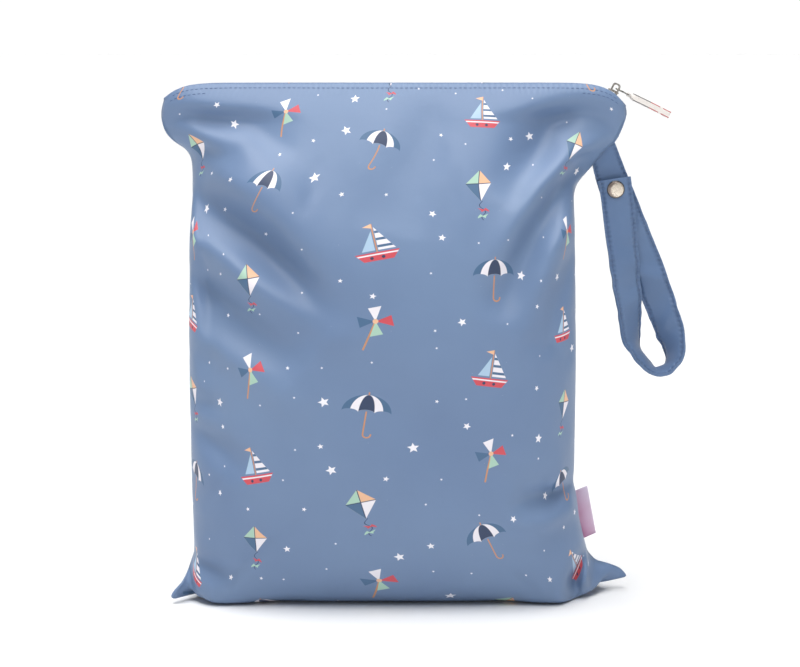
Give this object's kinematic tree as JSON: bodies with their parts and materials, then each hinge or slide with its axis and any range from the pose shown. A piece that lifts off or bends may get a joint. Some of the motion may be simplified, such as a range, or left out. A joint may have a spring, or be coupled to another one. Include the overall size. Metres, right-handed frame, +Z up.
{
  "type": "waterproof zip bag",
  "caption": "Full, upright soft pouch of coated fabric with a zip closure along its top edge, a looped snap strap at the side seam and a small folded label.",
  "frame": {"origin": "middle of the flat base on the floor", "axes": "+Z up, the front panel faces -Y, +X is to the right as seen from the front, where the strap hangs"},
  "size_m": [0.3658, 0.1312, 0.3613],
  "materials": {
    "coated_fabric": "satin woven polyester with a waterproof film, printed",
    "strap_fabric": "satin woven polyester, folded and edge stitched",
    "tape_weave": "matt woven zip tape",
    "coil_nylon": "smooth nylon coil",
    "nickel": "polished nickel plate",
    "ribbon": "stiff woven ribbon",
    "satin": "glossy satin ribbon"
  },
  "bodies": {
    "bag": {"front_panel": "coated_fabric", "back_panel": "coated_fabric", "zip_tape_front": "tape_weave", "zip_tape_back": "tape_weave", "zip_coil": "coil_nylon", "zip_slider": "nickel", "wrist_strap": "strap_fabric", "snap_cap": "nickel", "snap_socket": "nickel", "snap_stud": "nickel", "snap_back": "nickel", "side_label": "satin"},
    "pull": {"pull_link": "nickel", "pull_tab": "ribbon"}
  },
  "joints": [
    {"name": "pull_swing", "type": "hinge", "parent": "bag", "child": "pull", "pos_m": [0.16135, 0.006, 0.3572], "axis": [0, -1, 0], "range_deg": [0, 188]}
  ]
}
